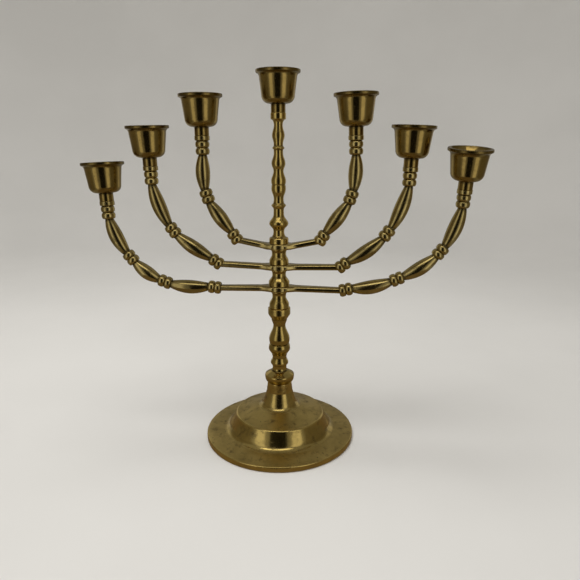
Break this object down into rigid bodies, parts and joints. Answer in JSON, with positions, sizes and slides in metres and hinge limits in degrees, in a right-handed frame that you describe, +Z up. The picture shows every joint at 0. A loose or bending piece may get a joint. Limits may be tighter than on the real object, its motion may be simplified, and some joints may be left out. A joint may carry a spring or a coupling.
{
  "type": "menorah",
  "caption": "Seven-branched candle holder: a stepped round foot, a turned column and three curved beaded branch pairs that turn on it, with bell-shaped cups.",
  "frame": {"origin": "centre of the foot's underside, on the table", "axes": "+Z up along the tie rod; the branches lie along X at rest, with +X towards the higher outer cup; -Y is the front"},
  "size_m": [0.2917, 0.116, 0.274],
  "materials": {
    "cast_foot": "aged, softly polished, mottled",
    "turned_brass": "polished and tarnished in the grooves",
    "cup_brass": "polished, warm brown tarnish under the bowls",
    "cast_branch": "satin casting, dark in the grooves",
    "steel": "plain"
  },
  "bodies": {
    "stand": {"base": "cast_foot", "tie_rod": "steel", "base_washer": "steel", "base_nut": "steel", "lower_stem": "turned_brass", "spacer_lower": "turned_brass", "spacer_middle": "turned_brass", "spacer_upper": "turned_brass", "upper_stem": "turned_brass", "cup_centre": "cup_brass"},
    "outer_branches": {"branch_pair_outer": "cast_branch", "studs_outer": "steel", "cup_outer_left": "cup_brass", "cup_outer_right": "cup_brass"},
    "middle_branches": {"branch_pair_middle": "cast_branch", "studs_middle": "steel", "cup_middle_left": "cup_brass", "cup_middle_right": "cup_brass"},
    "inner_branches": {"branch_pair_inner": "cast_branch", "studs_inner": "steel", "cup_inner_left": "cup_brass", "cup_inner_right": "cup_brass"}
  },
  "joints": [
    {"name": "outer_turn", "type": "hinge", "parent": "stand", "child": "outer_branches", "pos_m": [0, 0, 0.1204], "axis": [0, 0, 1], "continuous": true},
    {"name": "middle_turn", "type": "hinge", "parent": "stand", "child": "middle_branches", "pos_m": [0, 0, 0.1368], "axis": [0, 0, 1], "continuous": true},
    {"name": "inner_turn", "type": "hinge", "parent": "stand", "child": "inner_branches", "pos_m": [0, 0, 0.1524], "axis": [0, 0, 1], "continuous": true}
  ]
}
